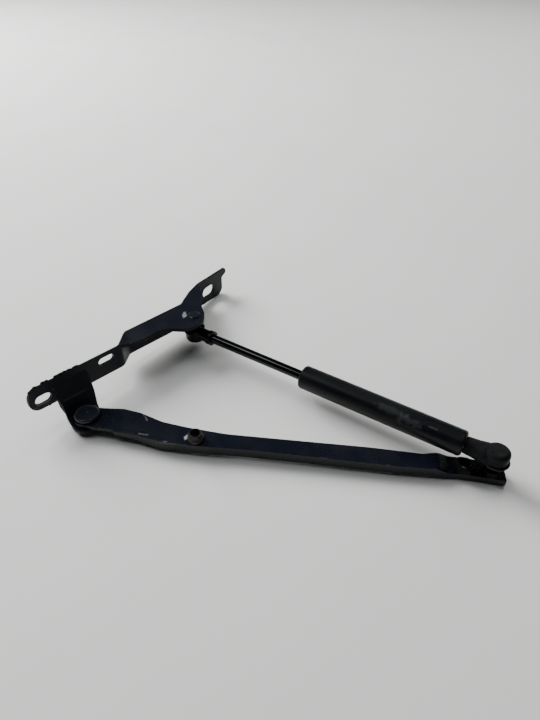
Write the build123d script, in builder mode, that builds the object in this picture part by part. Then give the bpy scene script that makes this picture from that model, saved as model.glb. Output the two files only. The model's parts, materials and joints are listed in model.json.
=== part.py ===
"""Lid hinge held open by a gas strut: a pressed wall bracket, a pressed arm and a strut between them.

Frame, in millimetres: the origin is the centre of the bracket's near bolt slot, in the outer face of
its wall. +X runs along the wall towards the strut end, +Y is the wall's outward normal,
and +Z is the direction of every hinge axis. The model stands in its fully open position.
"""
import os
from math import atan2, cos, degrees, hypot, radians, sin

from build123d import *

os.makedirs("parts", exist_ok=True)

# ---------------------------------------------------------------- driving dimensions

SHEET = 3.0                 # thickness of the bracket's and the arm's sheet steel
RUN_GAP = 0.05              # radial clearance of a turning or sliding fit
WASHER_T = 0.8              # thickness of the two pivot washers

PIVOT_X = 19.5              # hinge pivot of the arm
PIVOT_Y = -25.0
ANCHOR_X = 136.8            # strut's anchor on the bracket
ANCHOR_Y = -11.4
ARM_REACH = 294.0           # pivot to the strut's ball on the arm
ARM_ANGLE = -55.0           # arm's direction from +X when fully open

BASE_Z = -25.0              # underside of the pivot rivet, the lowest point
STRUT_Z = -3.8              # level of the strut's axis
WALL_TOP_Z = 13.0           # top of the bracket's wall and of its strut flange

TUBE_R = 9.5                # strut tube
TUBE_WALL = 1.2
ROD_R = 4.0                 # piston rod
TUBE_START = 108.2          # strut anchor to the tube's mouth, along the strut
TUBE_LENGTH = 129.8
BALL_R = 5.0                # both ball studs

# ---------------------------------------------------------------- levels of the pivot stack

TAIL_H = 2.5                                    # formed head of the rivet, under the ear
EAR_BOTTOM = BASE_Z + TAIL_H
EAR_TOP = EAR_BOTTOM + SHEET
ARM_BOTTOM = EAR_TOP + WASHER_T
ARM_TOP = ARM_BOTTOM + SHEET
HEAD_BOTTOM = ARM_TOP + WASHER_T
HEAD_TOP = HEAD_BOTTOM + 2.9
FLANGE_BOTTOM = WALL_TOP_Z - SHEET
PAD_DROP = 4.0                                  # the arm's end pad lies this much lower
PAD_TOP = ARM_TOP - PAD_DROP
PAD_BOTTOM = PAD_TOP - SHEET
LIP_BOTTOM = ARM_TOP - 8.0                      # lower edge of the arm's turned-down lip
PAD_LIP_BOTTOM = PAD_TOP - 5.2                  # the same along the end pad

# ---------------------------------------------------------------- working planes

arm_dir = Vector(cos(radians(ARM_ANGLE)), sin(radians(ARM_ANGLE)), 0)
ball_x = PIVOT_X + ARM_REACH * arm_dir.X
ball_y = PIVOT_Y + ARM_REACH * arm_dir.Y
strut_angle = degrees(atan2(ball_y - ANCHOR_Y, ball_x - ANCHOR_X))
strut_length = hypot(ball_x - ANCHOR_X, ball_y - ANCHOR_Y)
strut_dir = Vector(cos(radians(strut_angle)), sin(radians(strut_angle)), 0)
print(f"strut: angle {strut_angle:.4f}, length {strut_length:.4f}, ball {ball_x:.4f}, {ball_y:.4f}")


def arm_plane(z):
    """Plane with its origin on the pivot axis and x along the arm, at height z."""
    return Plane(origin=(PIVOT_X, PIVOT_Y, z), x_dir=arm_dir, z_dir=(0, 0, 1))


def strut_plane(along):
    """Plane square to the strut, this far from its anchor, with x level and y up."""
    centre = Vector(ANCHOR_X, ANCHOR_Y, STRUT_Z) + strut_dir * along
    return Plane(origin=centre, x_dir=Vector(0, 0, 1).cross(strut_dir), z_dir=strut_dir)


def strut_side_plane(along):
    """Upright plane that holds the strut's axis: x across the strut, y along it."""
    centre = Vector(ANCHOR_X, ANCHOR_Y, STRUT_Z) + strut_dir * along
    return Plane(origin=centre, x_dir=(0, 0, 1), z_dir=Vector(0, 0, 1).cross(strut_dir))


def stud_plane(x, y, z):
    """Upright plane through a vertical axis, x along the strut, for revolved studs and sockets."""
    return Plane(origin=(x, y, z), x_dir=strut_dir, z_dir=strut_dir.cross(Vector(0, 0, 1)))


def save(part, name):
    part.label = name
    export_step(part, f"parts/{name}.step")


# ---------------------------------------------------------------- bracket

SLOT_WIDTH = 8.6            # near bolt slot
SLOT_LENGTH = 13.0
LOCATING_SLOT_X = 54.5      # small slot near the first joggle
LOCATING_SLOT_Z = 6.1
LOCATING_SLOT_WIDTH = 7.0
LOCATING_SLOT_LENGTH = 14.0
FAR_SLOT_X = 186.0
FAR_SLOT_Z = -1.6
FAR_SLOT_WIDTH = 11.0
FAR_SLOT_LENGTH = 17.0
EAR_R = 12.4                # round end of the ear, about the pivot
EAR_LEFT = 8.2              # the ear's two ends where it leaves the wall
EAR_RIGHT = 36.6
RIVET_SHANK_R = 5.0
STUD_SHANK_R = 4.0

# middle line of the wall, seen from above: two joggles and a far end that leans outwards
wall_path = [
    (-20.0, -1.5),
    (68.0, -1.5),
    (81.5, 10.3),
    (140.5, 10.3),
    (158.5, 21.0),
    (173.5, 27.0),
    (212.5, 33.0),
]
far_start, far_stop = wall_path[-2:]
far_slope = (far_stop[1] - far_start[1]) / (far_stop[0] - far_start[0])
far_lean = degrees(atan2(far_slope, 1))
far_slot_y = far_start[1] + (FAR_SLOT_X - far_start[0]) * far_slope

with BuildPart() as ear:
    # a shoulder out of the wall, a steep web and the level seat of the pivot, from the side
    with BuildSketch(Plane.YZ) as ear_side:
        with BuildLine():
            FilletPolyline(
                (-SHEET / 2, 7.0),
                (-6.8, -6.6),
                (-12.4, EAR_BOTTOM + SHEET / 2),
                (-40.0, EAR_BOTTOM + SHEET / 2),
                radius=2.6,
            )
        trace(line_width=SHEET)
    extrude(amount=60)
    # its outline from above, round about the pivot
    with BuildSketch(Plane.XY.offset(BASE_Z)) as ear_outline:
        with BuildLine():
            Polyline(
                (EAR_LEFT, 0),
                (EAR_LEFT, -7.0),
                (EAR_LEFT + 1.4, -9.5),
                (PIVOT_X - EAR_R, PIVOT_Y + 2.0),
                (PIVOT_X + EAR_R, PIVOT_Y + 4.0),
                (34.4, -13.0),
                (36.2, -9.6),
                (EAR_RIGHT, -6.6),
                (EAR_RIGHT, 0),
                close=True,
            )
        make_face()
        with Locations((PIVOT_X, PIVOT_Y)):
            Circle(EAR_R)
    extrude(amount=60, mode=Mode.INTERSECT)
    # the shoulder's two upper corners are rounded, seen from the front
    with BuildSketch(Plane.XZ) as ear_front:
        with BuildLine():
            FilletPolyline(
                (EAR_LEFT - 2.0, -40.0),
                (EAR_LEFT - 2.0, 9.0),
                (EAR_RIGHT + 0.4, 9.0),
                (EAR_RIGHT + 0.4, -40.0),
                radius=[0, 8, 6, 0],
                close=True,
            )
        make_face()
    extrude(amount=60, both=True, mode=Mode.INTERSECT)

with BuildPart() as bracket:
    # the wall's band, from above
    with BuildSketch(Plane.XY.offset(EAR_BOTTOM)) as band:
        with BuildLine():
            FilletPolyline(*wall_path, radius=7.0)
        trace(line_width=SHEET)
    extrude(amount=WALL_TOP_Z - EAR_BOTTOM)
    # rolled outer edge along the top, where the strut flange is bent in
    outer_top = bracket.edges().group_by(Axis.Z)[-1].filter_by(Axis.X).filter_by_position(Axis.Y, -0.1, 0.1)
    fillet(outer_top, 2.4)
    # its outline from the front: round ends, a cut-back lower edge and a small nib at the far end
    with BuildSketch(Plane.XZ.offset(-60)) as front:
        with BuildLine():
            FilletPolyline(
                (-11.0, WALL_TOP_Z),
                (172.0, WALL_TOP_Z),
                (212.0, WALL_TOP_Z - 0.8),
                (212.0, 7.2),
                (206.0, 4.6),
                (206.0, -12.5),
                (167.5, -12.5),
                (145.5, -10.0),
                (81.5, -10.0),
                (67.5, -8.0),
                (EAR_RIGHT - 0.4, -8.0),
                (EAR_RIGHT - 3.0, -4.5),
                (EAR_LEFT + 3.0, -4.5),
                (EAR_LEFT + 0.4, -8.0),
                (-11.0, -8.0),
                radius=[11.0, 60.0, 2.6, 2.2, 2.0, 7.0, 20.0, 20.0, 8.0, 8.0, 1.0, 1.0, 1.0, 1.0, 8.0],
                close=True,
            )
        make_face()
    extrude(amount=120, mode=Mode.INTERSECT)
    # the ear
    add(ear.part)
    # the strut flange, bent in from the wall's top
    with BuildSketch(Plane.XY.offset(FLANGE_BOTTOM)) as flange:
        with BuildLine():
            FilletPolyline(
                (66.0, -1.5),
                (80.0, -8.6),
                (101.0, -8.8),
                (109.0, -11.4),
                (118.5, -21.6),
                (125.7, -24.6),
                (138.0, -23.0),
                (145.2, -15.0),
                (150.5, -5.5),
                (171.5, 21.0),
                (171.5, 26.6),
                (158.5, 21.0),
                (140.5, 10.3),
                (81.5, 10.3),
                (68.0, -1.5),
                radius=[0, 12, 8, 6, 4, 5, 7, 6, 8, 0, 0, 0, 0, 0, 0],
                close=True,
            )
        make_face()
    extrude(amount=SHEET)
    # the near slot, the small locating slot and the far slot
    with BuildSketch(Plane.XZ.offset(-20)) as level_slots:
        SlotOverall(SLOT_LENGTH, SLOT_WIDTH)
        with Locations((LOCATING_SLOT_X, LOCATING_SLOT_Z)):
            SlotOverall(LOCATING_SLOT_LENGTH, LOCATING_SLOT_WIDTH)
    extrude(amount=40, mode=Mode.SUBTRACT)
    far_plane = Plane(
        origin=(FAR_SLOT_X, far_slot_y, FAR_SLOT_Z),
        x_dir=(cos(radians(far_lean)), sin(radians(far_lean)), 0),
        z_dir=(sin(radians(far_lean)), -cos(radians(far_lean)), 0),
    )
    with BuildSketch(far_plane) as far_slot:
        SlotOverall(FAR_SLOT_LENGTH, FAR_SLOT_WIDTH)
    extrude(amount=20, both=True, mode=Mode.SUBTRACT)
    # rivet hole in the ear and stud hole in the flange
    with Locations((PIVOT_X, PIVOT_Y, EAR_TOP)):
        Hole(RIVET_SHANK_R, depth=SHEET + 1)
    with Locations((ANCHOR_X, ANCHOR_Y, WALL_TOP_Z)):
        Hole(STUD_SHANK_R, depth=SHEET + 1)

save(bracket.part, "hinge_bracket")


# ---------------------------------------------------------------- pivot

BUSH_R = 7.0                # outside of the bush, pressed into the arm
PIVOT_HEAD_R = 9.2
PIVOT_TAIL_R = 8.5
WASHER_R = 8.6

with BuildPart() as pivot_rivet:
    with BuildSketch(Plane.XZ.offset(-PIVOT_Y)) as half:
        with BuildLine():
            Polyline(
                (PIVOT_X, BASE_Z),
                (PIVOT_X + PIVOT_TAIL_R - 1.0, BASE_Z),
                (PIVOT_X + PIVOT_TAIL_R, BASE_Z + 1.0),
                (PIVOT_X + PIVOT_TAIL_R, EAR_BOTTOM),
                (PIVOT_X + RIVET_SHANK_R, EAR_BOTTOM),
                (PIVOT_X + RIVET_SHANK_R, HEAD_BOTTOM),
                (PIVOT_X + PIVOT_HEAD_R, HEAD_BOTTOM),
                (PIVOT_X + PIVOT_HEAD_R, HEAD_TOP - 1.4),
                (PIVOT_X + PIVOT_HEAD_R - 1.6, HEAD_TOP),
                (PIVOT_X + 2.2, HEAD_TOP),
                (PIVOT_X, HEAD_TOP - 0.8),
                close=True,
            )
        make_face()
    revolve(axis=Axis((PIVOT_X, PIVOT_Y, 0), (0, 0, 1)))
save(pivot_rivet.part, "pivot_rivet")

for washer_name, washer_z in (("pivot_washer_upper", ARM_TOP), ("pivot_washer_lower", EAR_TOP)):
    with BuildPart() as washer:
        with BuildSketch(Plane.XY.offset(washer_z)) as ring:
            with Locations((PIVOT_X, PIVOT_Y)):
                Circle(WASHER_R)
                Circle(RIVET_SHANK_R + 0.1, mode=Mode.SUBTRACT)
        extrude(amount=WASHER_T)
    save(washer.part, washer_name)

with BuildPart() as pivot_bush:
    with BuildSketch(Plane.XY.offset(ARM_BOTTOM)) as ring:
        with Locations((PIVOT_X, PIVOT_Y)):
            Circle(BUSH_R)
            Circle(RIVET_SHANK_R + RUN_GAP, mode=Mode.SUBTRACT)
    extrude(amount=SHEET)
save(pivot_bush.part, "pivot_bush")

# ---------------------------------------------------------------- arm

THREAD_R = 3.4              # M8 thread, bored to its core
BOLT_HOLE_R = 4.5
ARM_SHANK_R = 3.0           # shank of the arm's ball stud
FRONT_NUT = (85.8, -8.4)    # along and across the arm, from the pivot
REAR_NUT = (276.0, 1.0)
REAR_NUT_T = 5.0
FRONT_NUT_H = 6.4
JOGGLE_START = 257.5        # the arm steps down to its end pad between these
JOGGLE_END = 265.0
ARM_END = 304.5

# near edge of the arm, along and across, from above: outer face of the turned-down lip
lip_outer = [
    (24.0, -11.6),
    (40.0, -11.9),
    (61.0, -15.2),
    (90.0, -14.7),
    (119.0, -12.4),
    (162.0, -10.7),
    (197.0, -9.8),
    (231.0, -8.7),
    (258.0, -6.8),
    (274.0, -5.0),
    (287.0, -5.2),
    (ARM_END, -5.9),
]
lip_middle = [(x, y + SHEET / 2) for x, y in lip_outer]

# outline of the arm's web, along, across and corner radius: round about the pivot, then slim
web_outline = [
    (-9.0, 0.0, 7.0),
    (-6.4, -9.2, 6.0),
    (8.0, -10.2, 10.0),
    (27.0, -10.0, 12.0),
    *[(x, y, 12.0) for x, y in lip_middle[1:-1]],
    (ARM_END, lip_middle[-1][1], 0.0),
    (ARM_END, 5.0, 4.0),
    (298.0, 10.4, 4.0),
    (264.0, 10.4, 10.0),
    (248.0, 5.8, 12.0),
    (209.0, 5.3, 40.0),
    (154.0, 2.5, 40.0),
    (107.0, 0.2, 20.0),
    (78.0, 1.6, 30.0),
    (57.0, 4.0, 14.0),
    (38.0, 10.2, 12.0),
    (24.0, 12.2, 8.0),
    (8.0, 10.2, 8.0),
    (-6.4, 9.2, 6.0),
]
arm_side = Plane(origin=(PIVOT_X, PIVOT_Y, 0), x_dir=arm_dir, z_dir=arm_dir.cross(Vector(0, 0, 1)))

with BuildPart() as arm_web:
    with BuildSketch(arm_plane(BASE_Z)) as outline:
        with BuildLine():
            FilletPolyline(
                *[(x, y) for x, y, _ in web_outline],
                radius=[r for _, _, r in web_outline],
                close=True,
            )
        make_face()
    extrude(amount=20)
    with BuildSketch(arm_side) as side:
        with BuildLine():
            FilletPolyline(
                (-40.0, ARM_TOP - SHEET / 2),
                (JOGGLE_START, ARM_TOP - SHEET / 2),
                (JOGGLE_END, PAD_TOP - SHEET / 2),
                (ARM_END + 20.0, PAD_TOP - SHEET / 2),
                radius=5.0,
            )
        trace(line_width=SHEET)
    extrude(amount=60, both=True, mode=Mode.INTERSECT)

with BuildPart() as arm:
    with BuildSketch(arm_plane(BASE_Z)) as lip:
        with BuildLine():
            FilletPolyline(*lip_middle, radius=12.0)
        trace(line_width=SHEET)
    extrude(amount=20)
    with BuildSketch(arm_side) as side:
        with BuildLine():
            FilletPolyline(
                (22.0, ARM_BOTTOM),
                (58.0, LIP_BOTTOM),
                (JOGGLE_START, LIP_BOTTOM),
                (JOGGLE_END, PAD_LIP_BOTTOM),
                (ARM_END, PAD_LIP_BOTTOM),
                (ARM_END, PAD_TOP),
                (JOGGLE_END, PAD_TOP),
                (JOGGLE_START, ARM_TOP),
                (22.0, ARM_TOP),
                radius=[0, 12, 6, 6, 0, 0, 6, 6, 0],
                close=True,
            )
        make_face()
    extrude(amount=60, both=True, mode=Mode.INTERSECT)
    add(arm_web.part)
    with BuildSketch(arm_plane(BASE_Z)) as holes:
        Circle(BUSH_R)
        with Locations(FRONT_NUT, REAR_NUT):
            Circle(BOLT_HOLE_R)
        with Locations((ARM_REACH, 0)):
            Circle(ARM_SHANK_R)
    extrude(amount=20, mode=Mode.SUBTRACT)
save(arm.part, "hinge_arm")

with BuildPart() as front_weld_nut:
    with BuildSketch(arm_plane(ARM_TOP)) as base:
        with Locations(FRONT_NUT):
            Circle(6.2)
    extrude(amount=2.8)
    with BuildSketch(arm_plane(ARM_TOP + 2.8)) as collar:
        with Locations(FRONT_NUT):
            Circle(4.8)
    extrude(amount=FRONT_NUT_H - 2.8)
    with BuildSketch(arm_plane(ARM_TOP)) as thread:
        with Locations(FRONT_NUT):
            Circle(THREAD_R)
    extrude(amount=10, mode=Mode.SUBTRACT)
    chamfer(front_weld_nut.edges().group_by(Axis.Z)[-1].sort_by(SortBy.RADIUS)[-1], 0.5)
save(front_weld_nut.part, "front_weld_nut")

with BuildPart() as rear_weld_nut:
    with BuildSketch(arm_plane(PAD_TOP)) as hexagon:
        with Locations(REAR_NUT):
            RegularPolygon(6.5, 6, major_radius=False)
            Circle(THREAD_R, mode=Mode.SUBTRACT)
    extrude(amount=REAR_NUT_T)
save(rear_weld_nut.part, "rear_weld_nut")

# ---------------------------------------------------------------- ball studs

STUD_NECK_R = 2.6
STUD_COLLAR_R = 6.2
OPEN_PIVOT_GAP = 0.3        # the linkage is opened here: the stud floats this far over the arm

with BuildPart() as bracket_ball_stud:
    with BuildSketch(stud_plane(ANCHOR_X, ANCHOR_Y, 0)) as half:
        with BuildLine():
            neck_meet = (BALL_R**2 - STUD_NECK_R**2) ** 0.5
            Line((0, STRUT_Z - BALL_R), (0, WALL_TOP_Z + 1.1))
            RadiusArc((0, STRUT_Z - BALL_R), (BALL_R, STRUT_Z), -BALL_R)
            RadiusArc((BALL_R, STRUT_Z), (STUD_NECK_R, STRUT_Z + neck_meet), -BALL_R)
            Polyline(
                (STUD_NECK_R, STRUT_Z + neck_meet),
                (STUD_NECK_R, FLANGE_BOTTOM - 1.8),
                (STUD_COLLAR_R, FLANGE_BOTTOM - 1.8),
                (STUD_COLLAR_R, FLANGE_BOTTOM),
                (STUD_SHANK_R, FLANGE_BOTTOM),
                (STUD_SHANK_R, WALL_TOP_Z),
                (5.4, WALL_TOP_Z),
                (5.4, WALL_TOP_Z + 0.4),
                (4.2, WALL_TOP_Z + 1.1),
                (0, WALL_TOP_Z + 1.1),
            )
        make_face()
    revolve(axis=Axis((ANCHOR_X, ANCHOR_Y, 0), (0, 0, 1)))
save(bracket_ball_stud.part, "bracket_ball_stud")

STUD_FOOT = PAD_TOP + OPEN_PIVOT_GAP
HEX_TOP = STUD_FOOT + 5.0

with BuildPart() as arm_ball_stud:
    with BuildSketch(stud_plane(ball_x, ball_y, 0)) as half:
        with BuildLine():
            Line((0, HEX_TOP), (0, STRUT_Z + BALL_R))
            RadiusArc((0, STRUT_Z + BALL_R), (BALL_R, STRUT_Z), BALL_R)
            RadiusArc((BALL_R, STRUT_Z), (STUD_NECK_R, STRUT_Z - neck_meet), BALL_R)
            Polyline((STUD_NECK_R, STRUT_Z - neck_meet), (STUD_NECK_R, HEX_TOP), (0, HEX_TOP))
        make_face()
    revolve(axis=Axis((ball_x, ball_y, 0), (0, 0, 1)))
    with BuildSketch(arm_plane(STUD_FOOT)) as hexagon:
        with Locations((ARM_REACH, 0)):
            RegularPolygon(5.5, 6, major_radius=False)
    extrude(amount=HEX_TOP - STUD_FOOT)
save(arm_ball_stud.part, "arm_ball_stud")

with BuildPart() as ball_stud_shank:
    with BuildSketch(arm_plane(PAD_BOTTOM - 1.2)) as shank:
        with Locations((ARM_REACH, 0)):
            Circle(ARM_SHANK_R)
    extrude(amount=SHEET + 1.2)
    chamfer(ball_stud_shank.edges().group_by(Axis.Z)[0], 0.6)
save(ball_stud_shank.part, "ball_stud_shank")

# ---------------------------------------------------------------- ball sockets

SOCKET_R = 8.5              # round head of a socket, about the ball stud's axis
SOCKET_CLOSED = 7.8         # ball centre to the closed face
SOCKET_OPEN = 4.6           # ball centre to the mouth
MOUTH_R = 4.3
CAVITY_R = BALL_R + RUN_GAP
THREAD_OUTER_R = 4.0        # M8 thread that joins a socket to the rod or to the tube's plug
ROD_THREAD_START = 8.5
ROD_SOCKET_END = 19.5       # anchor to the end of the rod socket's neck
TUBE_END = TUBE_START + TUBE_LENGTH
CLIP_WIRE_R = 0.7
CLIP_OPENING = 142.0        # the ring is open over this angle, on the neck's side
CLIP_DROP = 2.4             # ball centre to the ring's plane, towards the mouth


def socket_head(x, y, closed_up):
    """Half outline of a socket's head, to be revolved: closed face up or down."""
    side = 1 if closed_up else -1
    closed = STRUT_Z + side * SOCKET_CLOSED
    mouth = STRUT_Z - side * SOCKET_OPEN
    with BuildSketch(stud_plane(x, y, 0)) as head:
        with BuildLine():
            FilletPolyline(
                (0, closed),
                (SOCKET_R, closed),
                (SOCKET_R, mouth),
                (MOUTH_R + 1.0, mouth),
                (MOUTH_R, mouth + side * 1.0),
                (0, mouth + side * 1.0),
                radius=[0, 3.2, 0.6, 0, 0, 0],
                close=True,
            )
        make_face()
    return head.sketch


with BuildPart() as rod_end_socket:
    add(socket_head(ANCHOR_X, ANCHOR_Y, closed_up=False))
    revolve(axis=Axis((ANCHOR_X, ANCHOR_Y, 0), (0, 0, 1)))
    with BuildSketch(strut_plane(0)) as neck:
        Circle(5.4)
    extrude(amount=ROD_SOCKET_END)
    with BuildSketch(strut_plane(ROD_SOCKET_END - 4.0)) as collar:
        Circle(6.3)
    extrude(amount=4.0)
    with BuildSketch(strut_plane(ROD_THREAD_START)) as bore:
        Circle(THREAD_OUTER_R)
    extrude(amount=ROD_SOCKET_END, mode=Mode.SUBTRACT)
    with Locations((ANCHOR_X, ANCHOR_Y, STRUT_Z)):
        Sphere(CAVITY_R, mode=Mode.SUBTRACT)
    with Locations((ANCHOR_X, ANCHOR_Y, STRUT_Z)):
        Cylinder(MOUTH_R, 20, align=(Align.CENTER, Align.CENTER, Align.MIN), mode=Mode.SUBTRACT)
save(rod_end_socket.part, "rod_end_socket")

with BuildPart() as tube_end_socket:
    add(socket_head(ball_x, ball_y, closed_up=True))
    revolve(axis=Axis((ball_x, ball_y, 0), (0, 0, 1)))
    with BuildSketch(strut_side_plane(0)) as neck:
        with BuildLine():
            Polyline(
                (0, TUBE_END + 0.3),
                (6.2, TUBE_END + 0.3),
                (6.9, strut_length - 13.0),
                (7.8, strut_length - 8.0),
                (7.8, strut_length),
                (0, strut_length),
                close=True,
            )
        make_face()
    revolve(axis=Axis((ANCHOR_X, ANCHOR_Y, STRUT_Z), strut_dir))
    with BuildSketch(strut_plane(TUBE_END)) as bore:
        Circle(THREAD_OUTER_R)
    extrude(amount=11.0, mode=Mode.SUBTRACT)
    with Locations((ball_x, ball_y, STRUT_Z)):
        Sphere(CAVITY_R, mode=Mode.SUBTRACT)
    with Locations((ball_x, ball_y, STRUT_Z)):
        Cylinder(MOUTH_R, 20, align=(Align.CENTER, Align.CENTER, Align.MAX), mode=Mode.SUBTRACT)
save(tube_end_socket.part, "tube_end_socket")

# ---------------------------------------------------------------- safety clips


def clip_ring(x, y, free_side, z):
    """Open ring of round wire about a socket's head, centred on the head's free side."""
    start = free_side - 180.0 + CLIP_OPENING / 2
    start_dir = Vector(cos(radians(start)), sin(radians(start)), 0)
    start_plane = Plane(origin=(x, y, z), x_dir=start_dir, z_dir=start_dir.cross(Vector(0, 0, 1)))
    with BuildPart() as clip:
        with BuildSketch(start_plane) as wire:
            with Locations((SOCKET_R + CLIP_WIRE_R, 0)):
                Circle(CLIP_WIRE_R)
        revolve(axis=Axis((x, y, 0), (0, 0, 1)), revolution_arc=360.0 - CLIP_OPENING)
    return clip


rod_end_clip = clip_ring(ANCHOR_X, ANCHOR_Y, strut_angle + 180.0, STRUT_Z + CLIP_DROP)
save(rod_end_clip.part, "rod_end_clip")
tube_end_clip = clip_ring(ball_x, ball_y, strut_angle, STRUT_Z - CLIP_DROP)
save(tube_end_clip.part, "tube_end_clip")

# ---------------------------------------------------------------- strut: rod side

BORE_R = TUBE_R - TUBE_WALL                 # inside of the tube
PISTON_START = TUBE_START + 18.0
PISTON_T = 8.0
ROD_TAIL_R = 3.0                            # rod's reduced end, which carries the piston
NUT_T = 4.0
PLATE_T = 1.2
PISTON_END = PISTON_START + PISTON_T
ROD_END = PISTON_END + PLATE_T + NUT_T + 1.5


def ring_on_strut(start, length, inner, outer):
    """Plain ring about the strut's axis."""
    with BuildPart() as ring:
        with BuildSketch(strut_plane(start)) as section:
            Circle(outer)
            Circle(inner, mode=Mode.SUBTRACT)
        extrude(amount=length)
    return ring


with BuildPart() as piston_rod:
    with BuildSketch(strut_plane(ROD_THREAD_START)) as shank:
        Circle(ROD_R)
    extrude(amount=PISTON_START - ROD_THREAD_START)
    with BuildSketch(strut_plane(PISTON_START)) as tail:
        Circle(ROD_TAIL_R)
    extrude(amount=ROD_END - PISTON_START)
save(piston_rod.part, "piston_rod")

with BuildPart() as piston:
    with BuildSketch(strut_side_plane(0)) as half:
        with BuildLine():
            Polyline(
                (ROD_TAIL_R, PISTON_START),
                (BORE_R - 0.3, PISTON_START),
                (BORE_R - 0.3, PISTON_START + 2.4),
                (BORE_R - 2.2, PISTON_START + 2.4),
                (BORE_R - 2.2, PISTON_START + 5.6),
                (BORE_R - 0.3, PISTON_START + 5.6),
                (BORE_R - 0.3, PISTON_END),
                (ROD_TAIL_R, PISTON_END),
                close=True,
            )
        make_face()
    revolve(axis=Axis((ANCHOR_X, ANCHOR_Y, STRUT_Z), strut_dir))
save(piston.part, "piston")

piston_ring = ring_on_strut(PISTON_START + 2.4, 3.2, BORE_R - 2.2, BORE_R - RUN_GAP)
save(piston_ring.part, "piston_ring")

piston_washer = ring_on_strut(PISTON_END, PLATE_T, ROD_TAIL_R, 6.8)
save(piston_washer.part, "piston_washer")

with BuildPart() as piston_nut:
    with BuildSketch(strut_plane(PISTON_END + PLATE_T)) as hexagon:
        RegularPolygon(5.0, 6, major_radius=False)
        Circle(ROD_TAIL_R, mode=Mode.SUBTRACT)
    extrude(amount=NUT_T)
save(piston_nut.part, "piston_nut")

# ---------------------------------------------------------------- strut: tube side

ROD_CLEAR_R = ROD_R + RUN_GAP
MOUTH_HOLE_R = 5.0
PLUG_T = 9.0

with BuildPart() as cylinder_tube:
    with BuildSketch(strut_side_plane(0)) as half:
        with BuildLine():
            FilletPolyline(
                (MOUTH_HOLE_R, TUBE_START),
                (TUBE_R, TUBE_START),
                (TUBE_R, TUBE_END),
                (MOUTH_HOLE_R, TUBE_END),
                (MOUTH_HOLE_R, TUBE_END - TUBE_WALL),
                (BORE_R, TUBE_END - TUBE_WALL),
                (BORE_R, TUBE_START + TUBE_WALL),
                (MOUTH_HOLE_R, TUBE_START + TUBE_WALL),
                radius=[0, 2.4, 2.4, 0, 0, 1.2, 1.2, 0],
                close=True,
            )
        make_face()
    revolve(axis=Axis((ANCHOR_X, ANCHOR_Y, STRUT_Z), strut_dir))
save(cylinder_tube.part, "cylinder_tube")

stack_start = TUBE_START + TUBE_WALL
rod_wiper = ring_on_strut(stack_start, 1.8, ROD_CLEAR_R, BORE_R - 1.3)
save(rod_wiper.part, "rod_wiper")
rod_guide = ring_on_strut(stack_start + 1.8, 7.5, ROD_CLEAR_R, BORE_R)
save(rod_guide.part, "rod_guide")
rod_seal = ring_on_strut(stack_start + 9.3, 3.6, ROD_CLEAR_R, BORE_R)
save(rod_seal.part, "rod_seal")
seal_support = ring_on_strut(stack_start + 12.9, 1.5, ROD_CLEAR_R + 0.3, BORE_R)
save(seal_support.part, "seal_support")

PLUG_START = TUBE_END - TUBE_WALL - PLUG_T
PLUG_GROOVE_R = BORE_R - 1.8
PLUG_STUD_END = TUBE_END + 10.0

with BuildPart() as end_plug:
    with BuildSketch(strut_side_plane(0)) as half:
        with BuildLine():
            Polyline(
                (0, PLUG_START),
                (BORE_R, PLUG_START),
                (BORE_R, PLUG_START + 2.6),
                (PLUG_GROOVE_R, PLUG_START + 2.6),
                (PLUG_GROOVE_R, PLUG_START + 5.0),
                (BORE_R, PLUG_START + 5.0),
                (BORE_R, PLUG_START + PLUG_T - 1.2),
                (BORE_R - 1.2, PLUG_START + PLUG_T),
                (THREAD_OUTER_R, PLUG_START + PLUG_T),
                (THREAD_OUTER_R, PLUG_STUD_END),
                (0, PLUG_STUD_END),
                close=True,
            )
        make_face()
    revolve(axis=Axis((ANCHOR_X, ANCHOR_Y, STRUT_Z), strut_dir))
save(end_plug.part, "end_plug")

end_seal = ring_on_strut(PLUG_START + 2.6, 2.4, PLUG_GROOVE_R, BORE_R)
save(end_seal.part, "end_seal")
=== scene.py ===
import json
import math

import bmesh
import bpy
from mathutils import Matrix, Vector, noise


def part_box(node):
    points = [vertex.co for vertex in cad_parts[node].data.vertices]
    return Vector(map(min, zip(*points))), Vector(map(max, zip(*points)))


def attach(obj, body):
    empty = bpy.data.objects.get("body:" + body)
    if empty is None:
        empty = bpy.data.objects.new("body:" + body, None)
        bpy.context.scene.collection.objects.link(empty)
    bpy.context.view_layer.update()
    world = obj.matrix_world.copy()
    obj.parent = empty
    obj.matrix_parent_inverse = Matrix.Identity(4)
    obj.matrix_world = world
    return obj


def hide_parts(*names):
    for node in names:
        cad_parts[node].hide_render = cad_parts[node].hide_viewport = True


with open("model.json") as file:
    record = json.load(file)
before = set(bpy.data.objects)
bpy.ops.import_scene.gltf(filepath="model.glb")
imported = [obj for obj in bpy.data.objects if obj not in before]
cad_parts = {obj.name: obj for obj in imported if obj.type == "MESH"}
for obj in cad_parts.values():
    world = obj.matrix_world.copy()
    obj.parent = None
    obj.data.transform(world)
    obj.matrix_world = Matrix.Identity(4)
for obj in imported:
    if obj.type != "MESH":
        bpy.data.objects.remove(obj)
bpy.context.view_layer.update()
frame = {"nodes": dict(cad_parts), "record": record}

nodes = frame["nodes"]
record_joints = {j["name"]: j for j in frame["record"]["behaviour"]["joints"]}

# ---------------------------------------------------------------- where things are, in the row frame

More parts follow.
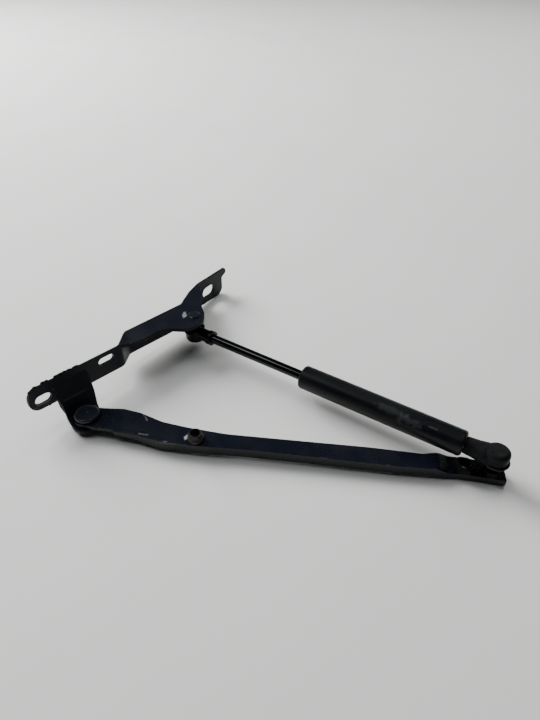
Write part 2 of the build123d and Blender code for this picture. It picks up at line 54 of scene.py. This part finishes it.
UP = Vector((0, 0, 1))
pivot = Vector(record_joints["arm_pivot"]["pos_m"])
anchor = Vector(record_joints["rod_pivot"]["pos_m"])
strut_dir = Vector(record_joints["tube_slide"]["axis"]).normalized()
ball_low, ball_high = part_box("ball_stud_shank")
arm_ball = (ball_low + ball_high) / 2
arm_ball.z = anchor.z
arm_dir = arm_ball - pivot
arm_dir.z = 0
arm_dir.normalize()
arm_angle = math.atan2(arm_dir.y, arm_dir.x)
strut_angle = math.atan2(strut_dir.y, strut_dir.x)
base_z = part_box("pivot_rivet")[0].z


def add(name, data):
    """A new object in the scene, from its data."""
    made = bpy.data.objects.new(name, data)
    bpy.context.scene.collection.objects.link(made)
    return made


def add_mesh(name, mesh_bm):
    """A new object in the scene with the mesh that was built, which is then freed."""
    mesh = bpy.data.meshes.new(name)
    mesh_bm.to_mesh(mesh)
    mesh_bm.free()
    return add(name, mesh)


# ---------------------------------------------------------------- camera, floor and light

CAMERA_HEIGHT = 0.331           # over the table
CAMERA_PITCH = math.radians(46.0)
CAMERA_LENS = 27.05             # millimetres, as the sensor's width
SENSOR = 36.0
PIVOT_ON_TABLE = (-0.1373, 0.2510, 0)
ARM_TURN = math.radians(-9.03)  # how the arm lies on the table
LEAN = math.radians(7.0)        # the hinge leans this much away from the camera
FLOOR_LEAN = math.radians(3.9)  # brings the floor within 1 mm of the arm's end and the bracket's far tip
FLOOR_HALF = 4.0                # half its width, in metres like every length here
DAYLIGHT = (1.0, 1.0, 0.985)
SKYLIGHT = (0.93, 0.97, 1.0)

table_from_row = (
    Matrix.Translation(PIVOT_ON_TABLE)
    @ Matrix.Rotation(ARM_TURN, 4, "Z")
    @ Matrix.Rotation(-LEAN, 4, "X")
    @ Matrix.Rotation(-arm_angle, 4, "Z")
    @ Matrix.Translation((-pivot.x, -pivot.y, -base_z))
)
row_from_table = table_from_row.inverted()

camera_data = bpy.data.cameras.new("camera")
camera_data.lens = CAMERA_LENS
camera_data.sensor_width = SENSOR
camera_data.clip_start = 0.01
camera = add("camera", camera_data)
camera.matrix_world = (
    row_from_table
    @ Matrix.Translation((0, 0, CAMERA_HEIGHT))
    @ Matrix.Rotation(math.pi / 2 - CAMERA_PITCH, 4, "X")
)
bpy.context.scene.camera = camera

floor_turn = Matrix.Rotation(arm_angle, 4, "Z") @ Matrix.Rotation(FLOOR_LEAN, 4, "X")
floor_normal = floor_turn @ UP
floor_level = min(floor_normal.dot(v.co) for o in nodes.values() for v in o.data.vertices)


def light(name, place, aim, size, power, colour=DAYLIGHT, mirrored=False):
    """Square area light at a place over the table, aimed at another, both in the table's frame.
    One that isn't mirrored lights a surface without showing in its gloss."""
    data = bpy.data.lights.new(name, "AREA")
    data.shape = "SQUARE"
    data.size = size
    data.energy = power
    data.color = colour
    lamp = add(name, data)
    start, end = row_from_table @ Vector(place), row_from_table @ Vector(aim)
    lamp.location = start
    lamp.rotation_mode = "QUATERNION"
    lamp.rotation_quaternion = (end - start).to_track_quat("-Z", "Y")
    lamp.visible_glossy = mirrored
    lamp.visible_camera = False


# the key at the back left draws the long soft shadows, and the next three keep them from going black.
# Only the small window is mirrored, as a streak along the rod, so that the level paint stays deep
light("key", (-1.2, 1.4, 0.9), (0.0, 0.35, 0.0), 1.0, 74.0)
light("back", (0.1, 1.9, 1.3), (0.0, 0.35, 0.0), 1.2, 9.5)
light("right", (0.9, 1.6, 1.0), (0.0, 0.35, 0.0), 1.0, 10.5)
light("ceiling", (0.1, 0.70, 1.5), (0.05, 0.4, 0.0), 1.5, 7.0)
light("window", (-0.635, 0.464, 1.07), (-0.1, 0.38, 0), 0.35, 2.0, SKYLIGHT, mirrored=True)

world = bpy.data.worlds.new("studio")
world.use_nodes = True
background = world.node_tree.nodes["Background"]
background.inputs["Color"].default_value = (0.90, 0.95, 1.0, 1)
background.inputs["Strength"].default_value = 0.03
bpy.context.scene.world = world


# ---------------------------------------------------------------- materials

WEAR = 0.0008       # how far wear and a soft rounding reach in from an edge
METAL_WEAR = 0.0005     # the same for a bare metal piece


class Shader:
    """One node material, with short calls for the nodes that the finishes here share."""

    def __init__(self, name):
        self.material = bpy.data.materials.new(name)
        self.material.use_nodes = True
        self.tree = self.material.node_tree
        self.tree.nodes.clear()
        output = self.tree.nodes.new("ShaderNodeOutputMaterial")
        self.surface = self.tree.nodes.new("ShaderNodeBsdfPrincipled")
        self.link(self.surface.outputs["BSDF"], output.inputs["Surface"])
        self.coordinates = self.tree.nodes.new("ShaderNodeTexCoord").outputs["Object"]

    def link(self, source, target):
        self.tree.links.new(source, target)

    def put(self, node, name, value):
        """Sets an input to a constant or links it to an output."""
        target = node.inputs[name]
        if isinstance(value, bpy.types.NodeSocket):
            self.link(value, target)
        else:
            target.default_value = value

    def set(self, **values):
        """Inputs of the surface, with _ for a space in their names."""
        for name, value in values.items():
            self.put(self.surface, name.replace("_", " "), value)

    def stretch(self, along, across):
        """Coordinates turned to the strut and scaled along and across it."""
        node = self.tree.nodes.new("ShaderNodeMapping")
        node.vector_type = "TEXTURE"
        self.link(self.coordinates, node.inputs["Vector"])
        node.inputs["Rotation"].default_value = (0, 0, strut_angle)
        node.inputs["Scale"].default_value = (1 / along, 1 / across, 1 / across)
        return node.outputs["Vector"]

    def noise(self, scale, detail=4.0, roughness=0.55, coordinates=None):
        """Cloudy noise round 0.5. The scale is in clouds to the metre."""
        node = self.tree.nodes.new("ShaderNodeTexNoise")
        self.link(coordinates or self.coordinates, node.inputs["Vector"])
        node.inputs["Scale"].default_value = scale
        node.inputs["Detail"].default_value = detail
        node.inputs["Roughness"].default_value = roughness
        return node.outputs["Fac"]

    def span(self, value, low, high, new_low=0.0, new_high=1.0):
        """Maps a range onto another, clamped."""
        node = self.tree.nodes.new("ShaderNodeMapRange")
        self.link(value, node.inputs["Value"])
        node.inputs["From Min"].default_value = low
        node.inputs["From Max"].default_value = high
        node.inputs["To Min"].default_value = new_low
        node.inputs["To Max"].default_value = new_high
        return node.outputs["Result"]

    def math(self, operation, a, b=0.0):
        """One arithmetic node on two inputs, or on one."""
        node = self.tree.nodes.new("ShaderNodeMath")
        node.operation = operation
        for index, value in enumerate((a, b)):
            self.put(node, index, value)
        return node.outputs["Value"]

    def mix(self, factor, a, b):
        """Colour that goes from a to b with the factor."""
        node = self.tree.nodes.new("ShaderNodeMix")
        node.data_type = "RGBA"
        self.put(node, "Factor", factor)
        for name, value in (("A", a), ("B", b)):
            socket = [s for s in node.inputs if s.name == name and s.type == "RGBA"][0]
            if isinstance(value, bpy.types.NodeSocket):
                self.link(value, socket)
            else:
                socket.default_value = (*value, 1)
        return [s for s in node.outputs if s.type == "RGBA"][0]

    def facing(self, direction):
        """How far the surface faces a direction of the row frame, -1 to 1. It moves with the piece."""
        node = self.tree.nodes.new("ShaderNodeVectorMath")
        node.operation = "DOT_PRODUCT"
        self.link(self.tree.nodes.new("ShaderNodeTexCoord").outputs["Normal"], node.inputs[0])
        node.inputs[1].default_value = tuple(direction)
        return node.outputs["Value"]

    def spot(self, point, sizes, turn=0.0, ragged=0.35, grain=420.0):
        """1 inside a ragged oval patch round a point of the row frame, 0 outside it."""
        node = self.tree.nodes.new("ShaderNodeMapping")
        node.vector_type = "TEXTURE"
        self.link(self.coordinates, node.inputs["Vector"])
        node.inputs["Location"].default_value = tuple(point)
        node.inputs["Rotation"].default_value = (0, 0, turn)
        node.inputs["Scale"].default_value = tuple(sizes)
        length = self.tree.nodes.new("ShaderNodeVectorMath")
        length.operation = "LENGTH"
        self.link(node.outputs["Vector"], length.inputs[0])
        torn = self.span(self.noise(grain, 3.0, 0.6), 0.3, 0.7, -ragged, ragged)
        soft_edge = 0.7
        return self.span(self.math("ADD", length.outputs["Value"], torn), 1.0, soft_edge)

    def edges(self, radius):
        """1 on the edges of the mesh, 0 on its faces, and the rounded normal that goes with it."""
        flat, sharp = 0.995, 0.93       # cosines between the true normal and the rounded one
        bevel = self.tree.nodes.new("ShaderNodeBevel")
        bevel.samples = 4
        bevel.inputs["Radius"].default_value = radius
        dot = self.tree.nodes.new("ShaderNodeVectorMath")
        dot.operation = "DOT_PRODUCT"
        self.link(bevel.outputs["Normal"], dot.inputs[0])
        self.link(self.tree.nodes.new("ShaderNodeNewGeometry").outputs["Normal"], dot.inputs[1])
        return self.span(dot.outputs["Value"], flat, sharp), bevel.outputs["Normal"]

    def bump(self, height, strength, distance, normal=None):
        """Normal with fine relief on it, over a rounded one where given."""
        node = self.tree.nodes.new("ShaderNodeBump")
        self.link(height, node.inputs["Height"])
        node.inputs["Strength"].default_value = strength
        node.inputs["Distance"].default_value = distance
        if normal is not None:
            self.link(normal, node.inputs["Normal"])
        return node.outputs["Normal"]


def black_paint(name, tint, dusty, patches=(), mirror=0.4, rough=(0.22, 0.40)):
    """Deep blue-black dip paint on pressed steel, rubbed to grey along its edges, with given patches of wear,
    stains, painted highlight and painted shade.
    """
    s = Shader(name)
    cloud = s.span(s.noise(38.0, 5.0), 0.42, 0.70)
    colour = s.mix(cloud, tint, dusty)
    edge, rounded = s.edges(WEAR)
    rub = s.math("MULTIPLY", edge, s.span(s.noise(190.0, 4.0, 0.7), 0.46, 0.62))
    colour = s.mix(s.math("MULTIPLY", rub, 0.8), colour, (0.040, 0.042, 0.044))
    chip = s.math("MULTIPLY", edge, s.span(s.noise(110.0, 3.0, 0.6), 0.61, 0.67))
    colour = s.mix(chip, colour, (0.17, 0.165, 0.155))
    scratch = s.span(s.noise(420.0, 2.0, 0.5, s.stretch(0.12, 1.0)), 0.72, 0.80)
    colour = s.mix(s.math("MULTIPLY", scratch, 0.12), colour, (0.05, 0.052, 0.055))
    # the patches hold wear and stains, and also painted highlights and painted shade
    for point, sizes, turn, strength, patch_colour in patches:
        patch_mask = s.math("MULTIPLY", s.spot(point, sizes, turn), strength)
        colour = s.mix(patch_mask, colour, patch_colour)
    satin = s.span(s.noise(90.0, 6.0, 0.65), 0.3, 0.75, *rough)
    s.set(
        Base_Color=colour,
        Metallic=0.0,
        Roughness=s.math("ADD", satin, s.math("MULTIPLY", rub, 0.2)),
        Normal=s.bump(s.noise(800.0, 3.0), 0.10, 0.0004, rounded),
        Specular_IOR_Level=mirror,
    )
    return s.material


def tube_paint(patches=()):
    """Satin black strut tube, patchy brown on its lower front, with a darker blue band along the front and
    scuffs along it.
    """
    s = Shader("scuffed_tube_paint")
    along = s.stretch(0.25, 1.0)
    cloud = s.span(s.noise(60.0, 6.0, 0.65, along), 0.4, 0.7)
    colour = s.mix(cloud, (0.0034, 0.0044, 0.0058), (0.0078, 0.0088, 0.0096))
    side = strut_dir.cross(UP)      # the side of the tube that looks to the front
    low = s.span(s.facing(-UP * 0.2 + side * 0.98), -0.15, 0.6)
    # patchy brown where the surface faces the front and a little down
    lower_front_brown = s.math("MULTIPLY", low, s.span(s.noise(70.0, 5.0, 0.7), 0.40, 0.66))
    colour = s.mix(s.math("MULTIPLY", lower_front_brown, 0.6), colour, (0.0125, 0.0110, 0.0075))
    # a patchy darker blue band along the front of the tube
    front = s.span(s.math("ABSOLUTE", s.math("SUBTRACT", s.facing(side), 0.80)), 0.20, 0.10)
    front_blue_band = s.math("MULTIPLY", front, s.span(s.noise(85.0, 4.0, 0.6, along), 0.46, 0.56))
    colour = s.mix(s.math("MULTIPLY", front_blue_band, 0.8), colour, (0.0022, 0.0026, 0.0052))
    edge, rounded = s.edges(WEAR)
    rub = s.math("MULTIPLY", edge, s.span(s.noise(240.0, 3.0), 0.48, 0.60))
    colour = s.mix(s.math("MULTIPLY", rub, 0.35), colour, (0.035, 0.034, 0.033))
    for point, sizes, turn, strength, patch_colour in patches:
        patch_mask = s.math("MULTIPLY", s.spot(point, sizes, turn, 0.6, 260.0), strength)
        colour = s.mix(patch_mask, colour, patch_colour)
    s.set(
        Base_Color=colour,
        Roughness=s.span(s.noise(150.0, 5.0, 0.7, along), 0.3, 0.7, 0.34, 0.52),
        Normal=s.bump(s.noise(1300.0, 3.0), 0.12, 0.0003, rounded),
        Specular_IOR_Level=0.28,
    )
    return s.material


def rod_black():
    """Glossy black nitrided rod with fine polishing marks."""
    s = Shader("rod_gloss_black")
    marks = s.noise(700.0, 3.0, 0.6, s.stretch(1.0, 0.1))
    s.set(
        Base_Color=s.mix(s.span(s.noise(80.0), 0.4, 0.7), (0.0006, 0.0011, 0.0014), (0.0012, 0.0018, 0.0021)),
        Metallic=0.0,
        Roughness=s.span(marks, 0.3, 0.7, 0.05, 0.10),
        Normal=s.bump(marks, 0.05, 0.0002),
        Specular_IOR_Level=0.35,
    )
    return s.material


def plastic(name, dark, light, rough=(0.42, 0.60)):
    """Dark moulded plastic, slightly mottled, lighter where handling has rubbed its edges."""
    s = Shader(name)
    colour = s.mix(s.span(s.noise(110.0, 5.0, 0.6), 0.38, 0.68), dark, light)
    edge, rounded = s.edges(WEAR)
    rub = s.math("MULTIPLY", edge, s.span(s.noise(260.0, 3.0), 0.45, 0.62))
    colour = s.mix(s.math("MULTIPLY", rub, 0.5), colour, (0.030, 0.031, 0.033))
    s.set(
        Base_Color=colour,
        Roughness=s.span(s.noise(200.0, 4.0), 0.3, 0.7, *rough),
        Normal=s.bump(s.noise(1600.0, 2.0), 0.18, 0.0003, rounded),
        Specular_IOR_Level=0.10,
    )
    return s.material


def bare_metal(name, dark, light, rough, metallic=0.9, stain=None):
    """Turned or rolled metal with fine marks, and stains where asked."""
    s = Shader(name)
    colour = s.mix(s.span(s.noise(160.0, 5.0, 0.65), 0.35, 0.7), dark, light)
    if stain:
        colour = s.mix(s.span(s.noise(85.0, 4.0, 0.7), 0.55, 0.68), colour, stain)
    edge, rounded = s.edges(METAL_WEAR)
    s.set(
        Base_Color=s.mix(s.math("MULTIPLY", edge, 0.4), colour, tuple(min(1.0, c * 1.8) for c in light)),
        Metallic=metallic,
        Roughness=s.span(s.noise(320.0, 4.0), 0.3, 0.7, rough, rough + 0.18),
        Normal=s.bump(s.noise(1400.0, 3.0), 0.12, 0.0003, rounded),
    )
    return s.material


def floor_finish():
    """Pale matt table with the faintest clouds."""
    s = Shader("pale_table")
    colour = s.mix(s.span(s.noise(3.5, 4.0), 0.35, 0.7), (0.650, 0.665, 0.648), (0.680, 0.692, 0.676))
    s.set(
        Base_Color=colour,
        Roughness=s.span(s.noise(14.0, 4.0), 0.3, 0.7, 0.50, 0.62),
        Normal=s.bump(s.noise(220.0, 3.0), 0.04, 0.0006),
        Specular_IOR_Level=0.3,
    )
    return s.material


# ---------------------------------------------------------------- where the wear, stains, painted highlights and painted shade are

across_arm = UP.cross(arm_dir)
front_nut_low, front_nut_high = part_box("front_weld_nut")
front_nut = (front_nut_low + front_nut_high) / 2
front_nut.z = front_nut_low.z
rear_nut_low, rear_nut_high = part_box("rear_weld_nut")
rear_nut = (rear_nut_low + rear_nut_high) / 2
rear_nut.z = rear_nut_low.z
wall_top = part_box("hinge_bracket")[1].z
arm_top = front_nut_low.z


def on_arm(along, across, z=0.0):
    """Point on the arm's upper face, from the pivot."""
    return pivot.xy.to_3d() + arm_dir * along + across_arm * across + UP * (arm_top + z)


def on_strut(along, across, up=0.0):
    """Point by the strut's axis, from its anchor."""
    return anchor + strut_dir * along + UP.cross(strut_dir) * across + UP * up


# pale grey, for bare metal and for a painted highlight
PALE_BARE_AND_HIGHLIGHT = (0.30, 0.29, 0.28)
DULL = (0.055, 0.057, 0.060)
BROWN = (0.030, 0.026, 0.020)
SCUFF = (0.034, 0.038, 0.046)
PALE_SCUFF = (0.040, 0.043, 0.050)
# near black, painted over the end pad as shade
PAD_PAINTED_SHADE = (0.0010, 0.0012, 0.0018)

# a patch is its middle, its half sizes, its turn about the upright, its strength and its colour
arm_patches = [
    # pale patch beside the front nut, partly paint rubbed bare and partly a painted highlight where the sheet
    # rises round the nut
    (front_nut - arm_dir * 0.0068 + across_arm * 0.0006, (0.0020, 0.0026, 0.0020), arm_angle, 0.9, PALE_BARE_AND_HIGHLIGHT),
    # a scratch on the arm's shoulder, and two pale streaks along its bent edge
    (on_arm(0.0440, 0.0052), (0.0036, 0.0004, 0.0020), arm_angle - 0.9, 0.7, (0.16, 0.16, 0.17)),
    (on_arm(0.0440, -0.0105, -0.001), (0.0100, 0.0012, 0.0012), arm_angle, 0.6, (0.13, 0.13, 0.13)),
    (on_arm(0.0660, -0.0146, -0.001), (0.0090, 0.0010, 0.0012), arm_angle, 0.6, (0.11, 0.11, 0.11)),
    # painted shade: near black over the end pad, which the tube and socket shade
    (on_arm(0.2850, -0.0020, -0.006), (0.0240, 0.0140, 0.0100), arm_angle, 0.75, PAD_PAINTED_SHADE),
]
crescent = arm_angle + math.radians(9.0) + math.pi / 2      # turn of the pale crescent by the strut's pin, partly rubbed paint and partly a painted highlight
crescent_out = Vector((-math.sin(crescent), math.cos(crescent), 0))
pin_top = Vector((anchor.x, anchor.y, wall_top))
bracket_patches = [
    # pale crescent by the pin: partly rubbed paint, partly a painted highlight of the rim round it
    (pin_top + crescent_out * 0.0082, (0.0052, 0.0020, 0.0012), crescent, 0.8, (0.17, 0.18, 0.19)),
    (Vector((0, -0.0030, -0.0045)), (0.0100, 0.0020, 0.0024), 0.0, 0.45, DULL),
    (Vector((0.187, 0.0235, -0.0085)), (0.0080, 0.0060, 0.0024), 0.25, 0.6, BROWN),
    # painted shade darkening the face of the first joggle
    (Vector((0.0755, 0.0030, 0.0)), (0.0095, 0.0070, 0.0160), 0.72, 0.7, (0.0012, 0.0014, 0.0020)),
    # a painted highlight along the fold of the ear
    (Vector((0.022, -0.0085, -0.0062)), (0.0130, 0.0010, 0.0010), 0.0, 0.5, (0.06, 0.06, 0.062)),
]
TUBE_SIDE = -0.0054     # the scuffs lie half way up the front of the tube
tube_patches = [
    (on_strut(0.184, TUBE_SIDE, 0.0078), (0.0130, 0.0028, 0.0060), strut_angle, 0.40, SCUFF),
    (on_strut(0.197, TUBE_SIDE - 0.0014, 0.0070), (0.0110, 0.0022, 0.0060), strut_angle, 0.45, PALE_SCUFF),
    (on_strut(0.216, TUBE_SIDE, 0.0078), (0.0040, 0.0006, 0.0060), strut_angle, 0.40, (0.08, 0.08, 0.08)),
    # rust at the socket's end, and a dark line across near the rod's
    (on_strut(0.2365, 0.0, 0.0), (0.0016, 0.0120, 0.0120), strut_angle, 0.6, (0.022, 0.014, 0.009)),
    (on_strut(0.1330, -0.0092, 0.0010), (0.0008, 0.0030, 0.0040), strut_angle, 1.0, (0.0004, 0.0004, 0.0004)),
]

# ---------------------------------------------------------------- which node gets which finish

NUT = bare_metal(
    "nut_steel", (0.016, 0.015, 0.015), (0.055, 0.052, 0.050), 0.36, 0.45, stain=(0.020, 0.014, 0.010)
)
RIVET = black_paint("rivet_black_coat", (0.0078, 0.0096, 0.0152), (0.0116, 0.0132, 0.0174))
FITTING = black_paint(
    "fitting_black_paint", (0.0010, 0.0014, 0.0020), (0.0030, 0.0034, 0.0040), mirror=0.22, rough=(0.30, 0.45)
)
DARK_NUT = black_paint(
    "nut_black_coat", (0.0020, 0.0021, 0.0024), (0.0060, 0.0060, 0.0064), mirror=0.10, rough=(0.44, 0.60)
)

finishes = {
    "black_paint": black_paint(
        "worn_black_paint", (0.0040, 0.0050, 0.0096), (0.0086, 0.0097, 0.0130), arm_patches
    ),
    "tube_paint": tube_paint(tube_patches),
    "rod_black": rod_black(),
    "fitting_black": FITTING,
    "socket_plastic": plastic("socket_dark_plastic", (0.0068, 0.0073, 0.0080), (0.0140, 0.0146, 0.0152)),
    "rivet_steel": RIVET,
    "nut_steel": NUT,
    "stud_steel": black_paint(
        "stud_black_coat", (0.0012, 0.0014, 0.0018), (0.0040, 0.0043, 0.0050), mirror=0.10, rough=(0.44, 0.60)
    ),
    "clip_steel": bare_metal("clip_spring_steel", (0.016, 0.016, 0.017), (0.05, 0.05, 0.052), 0.3, 0.7),
    "washer_steel": bare_metal(
        "washer_steel", (0.10, 0.10, 0.10), (0.20, 0.20, 0.19), 0.34, 0.8, stain=(0.05, 0.04, 0.03)
    ),
    "bush_bronze": bare_metal("bush_bronze", (0.28, 0.17, 0.07), (0.45, 0.30, 0.14), 0.35),
    "seal_rubber": plastic("seal_rubber", (0.008, 0.008, 0.008), (0.014, 0.014, 0.014), (0.6, 0.8)),
    "guide_plastic": plastic("guide_plastic", (0.02, 0.02, 0.02), (0.035, 0.035, 0.035)),
    "piston_aluminium": bare_metal("piston_alloy", (0.30, 0.30, 0.31), (0.45, 0.45, 0.46), 0.30),
}
own_finishes = {
    "hinge_bracket": black_paint(
        "worn_bracket_paint",
        (0.0060, 0.0068, 0.0112),
        (0.0104, 0.0114, 0.0146),
        bracket_patches,
        mirror=0.17,
        rough=(0.36, 0.52),
    ),
    "bracket_ball_stud": RIVET,     # painted over with the bracket
}
for subpart in frame["record"]["subparts"]:
    finish = own_finishes.get(subpart["node"], finishes[subpart["material_slot"]])
    for material_slot in nodes[subpart["node"]].material_slots:
        material_slot.material = finish


# ---------------------------------------------------------------- turned pieces

STEPS = 96      # round a turned piece, a multiple of six so that a hexagon's corners are true
SHARP = math.radians(32)        # edges that bend more than this stay sharp
MM = 0.001
THREAD_CORE = 3.42 * MM
THREAD_DEPTH = 0.52 * MM
THREAD_PITCH = 1.25 * MM
RINGS_PER_TURN = 8      # of the thread
TEETH = 24              # round the clinch nut's flange


def turned(name, rings, place, finish, body, closed=False, turn=0.0):
    """A mesh of rings round an upright axis. Each ring is a height and a radius that may depend on the angle.
    A closed one joins its last ring to its first, as in a nut, and an open one has its two ends filled."""
    mesh_bm = bmesh.new()
    loops = []
    for height, radius in rings:
        loop = []
        for step in range(STEPS):
            angle = 2 * math.pi * step / STEPS
            r = radius(angle) if callable(radius) else radius
            loop.append(mesh_bm.verts.new((r * math.cos(angle + turn), r * math.sin(angle + turn), height)))
        loops.append(loop)
    pairs = list(zip(loops, loops[1:]))
    if closed:
        pairs.append((loops[-1], loops[0]))
    else:
        mesh_bm.faces.new(loops[0])
        mesh_bm.faces.new(loops[-1])
    for lower, upper in pairs:
        for step in range(STEPS):
            after = (step + 1) % STEPS
            mesh_bm.faces.new((lower[step], lower[after], upper[after], upper[step]))
    bmesh.ops.recalc_face_normals(mesh_bm, faces=mesh_bm.faces)
    piece = add_mesh(name, mesh_bm)
    piece.data.transform(Matrix.Translation(place))
    piece.data.shade_smooth()
    piece.data.set_sharp_from_angle(angle=SHARP)
    piece.data.materials.append(finish)
    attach(piece, body)
    return piece


def hexagon(flat):
    """Radius of a hexagon at each angle, from its half width across the flats."""
    return lambda angle: flat / math.cos((angle % (math.pi / 3)) - math.pi / 6)


def capped(radius, limit):
    """A radius that is cut off at a limit, as a hexagon's corners are by its chamfer."""
    return lambda angle: min(radius(angle), limit)


def thread_rings(top, bottom):
    """Rings down the inside of a nut, with the helical ridges of its thread."""
    rings = []
    count = round((top - bottom) / THREAD_PITCH * RINGS_PER_TURN)
    for index in range(count + 1):
        height = top + (bottom - top) * index / count
        fade = min(1.0, (top - height) / THREAD_PITCH, (height - bottom) / THREAD_PITCH)

        def radius(angle, height=height, fade=fade):
            phase = (height / THREAD_PITCH + angle / (2 * math.pi)) % 1.0
            return THREAD_CORE + THREAD_DEPTH * (1 - abs(2 * phase - 1)) * fade

        rings.append((height, radius))
    return rings


def threaded_bore(height):
    """Rings from a nut's countersunk top down its thread to its foot."""
    return [
        (height - 0.7 * MM, 3.45 * MM),
        *thread_rings(height - 0.75 * MM, 0.8 * MM),
        (0.0, 4.1 * MM),
    ]


nut_height = front_nut_high.z - front_nut_low.z
nut_r = (front_nut_high.x - front_nut_low.x) / 2


def serrated(angle):
    """Knurled edge of the clinch nut's flange."""
    return nut_r - 0.2 * MM + 0.15 * MM * math.cos(TEETH * angle)


front_rings = [
    # knurled flange
    (0.0, nut_r - 0.5 * MM),
    (0.4 * MM, serrated),
    (2.1 * MM, serrated),
    (2.5 * MM, nut_r - 0.4 * MM),
    (2.8 * MM, nut_r - 0.9 * MM),
    (2.85 * MM, nut_r - 1.35 * MM),
    # waist and collar
    (3.2 * MM, nut_r - 1.55 * MM),
    (nut_height - 1.3 * MM, nut_r - 1.55 * MM),
    (nut_height - 1.1 * MM, nut_r - 1.45 * MM),
    (nut_height - 0.5 * MM, nut_r - 1.45 * MM),
    (nut_height - 0.1 * MM, nut_r - 1.65 * MM),
    (nut_height, nut_r - 1.85 * MM),
    (nut_height, 4.05 * MM),
    *threaded_bore(nut_height),
]
front_piece = turned("front_nut_threaded", front_rings, front_nut, NUT, "arm", closed=True)
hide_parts("front_weld_nut")

rear_height = rear_nut_high.z - rear_nut_low.z
flats = hexagon(6.45 * MM)
rear_rings = [
    # hexagon
    (0.0, capped(flats, 7.0 * MM)),
    (0.5 * MM, flats),
    (rear_height - 1.3 * MM, flats),
    (rear_height - 0.75 * MM, capped(flats, 6.9 * MM)),
    # low collar
    (rear_height - 0.45 * MM, 6.2 * MM),
    (rear_height - 0.4 * MM, 5.3 * MM),
    (rear_height, 5.1 * MM),
    (rear_height, 4.2 * MM),
    *threaded_bore(rear_height),
]
rear_piece = turned(
    "rear_nut_threaded", rear_rings, rear_nut, DARK_NUT, "arm", closed=True, turn=arm_angle
)
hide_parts("rear_weld_nut")

rivet_low, rivet_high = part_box("pivot_rivet")
rivet_height = rivet_high.z - rivet_low.z
head_r = (rivet_high.x - rivet_low.x) / 2
head_bottom = rivet_height - 2.9 * MM
rivet_rings = [
    # formed head below the ear
    (0.0, 3.0 * MM),
    (0.02 * MM, 6.6 * MM),
    (0.35 * MM, 7.7 * MM),
    (1.0 * MM, 8.35 * MM),
    (1.9 * MM, 8.5 * MM),
    (2.5 * MM, 8.3 * MM),
    # shank
    (2.5 * MM, 5.0 * MM),
    (head_bottom, 5.0 * MM),
    # head, with a raised rim and a small dimple
    (head_bottom, head_r - 0.5 * MM),
    (head_bottom + 0.3 * MM, head_r - 0.1 * MM),
    (head_bottom + 0.7 * MM, head_r),
    (rivet_height - 0.9 * MM, head_r),
    (rivet_height - 0.45 * MM, head_r - 0.2 * MM),
    (rivet_height - 0.12 * MM, head_r - 0.65 * MM),
    (rivet_height - 0.05 * MM, head_r - 1.05 * MM),
    (rivet_height - 0.45 * MM, head_r - 1.55 * MM),
    (rivet_height - 0.48 * MM, head_r - 1.9 * MM),
    (rivet_height - 0.2 * MM, 5.5 * MM),
    (rivet_height - 0.1 * MM, 2.0 * MM),
    (rivet_height - 0.12 * MM, 1.25 * MM),
    (rivet_height - 0.4 * MM, 1.0 * MM),
    (rivet_height - 0.5 * MM, 0.3 * MM),
]
rivet_foot = Vector((pivot.x, pivot.y, rivet_low.z))
rivet_piece = turned("pivot_rivet_formed", rivet_rings, rivet_foot, RIVET, "bracket")
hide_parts("pivot_rivet")


# ---------------------------------------------------------------- crust of sealant at the wall's near end

# centre and half sizes of each lump, in millimetres of the row frame, hugging the wall's edge
lumps = [
    ((3.4, -1.5, 12.8), (2.2, 1.8, 1.0)),
    ((6.2, -1.6, 12.9), (1.5, 1.7, 0.9)),
    ((13.6, -1.6, 12.8), (2.2, 1.9, 0.9)),
    ((16.8, -1.7, 12.9), (2.6, 1.9, 1.0)),
    ((20.3, -1.6, 12.8), (2.4, 1.9, 1.0)),
    ((24.2, -1.5, 12.7), (2.6, 1.8, 0.8)),
    ((29.5, -1.5, 12.7), (3.2, 1.7, 0.6)),
    ((-3.2, -1.5, 12.3), (2.0, 1.7, 0.6)),
    ((-7.6, -1.5, 9.9), (1.6, 1.7, 1.2)),
    ((-9.7, -1.5, 5.2), (1.0, 1.8, 1.7)),
    ((-10.1, -1.5, -1.8), (0.8, 1.8, 1.6)),
    ((3.4, -1.6, -8.0), (1.4, 1.7, 1.3)),
    ((-2.5, -2.7, -6.2), (3.0, 0.8, 1.1)),
]
CRUST_VOXEL = 0.22 * MM
CRUST_ROUGH = 0.32      # the deepest dent, as a share of the lump
crust_bm = bmesh.new()
for centre, sizes in lumps:
    made = bmesh.ops.create_icosphere(crust_bm, subdivisions=4, radius=1.0)
    for vert in made["verts"]:
        rough = 1.0 - CRUST_ROUGH * abs(noise.noise(vert.co * 1.7 + Vector(centre) * 0.9))
        vert.co = Vector([c + v * r * rough for c, v, r in zip(centre, vert.co, sizes)]) * MM
crust = add_mesh("sealant_crust", crust_bm)
lumps_mesh = crust.data
skin = crust.modifiers.new("one_skin", "REMESH")
skin.mode = "VOXEL"
skin.voxel_size = CRUST_VOXEL
skin.use_smooth_shade = True
skinned = crust.evaluated_get(bpy.context.evaluated_depsgraph_get())
crust.data = bpy.data.meshes.new_from_object(skinned)
crust.modifiers.clear()
bpy.data.meshes.remove(lumps_mesh)
crust.data.name = "sealant_crust"
crust.data.materials.append(FITTING)
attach(crust, "bracket")

# ---------------------------------------------------------------- floor

floor_bm = bmesh.new()
bmesh.ops.create_grid(floor_bm, x_segments=1, y_segments=1, size=FLOOR_HALF)
floor = add_mesh("floor", floor_bm)
floor.matrix_world = floor_turn
floor.location = floor_normal * floor_level
floor.data.materials.append(floor_finish())
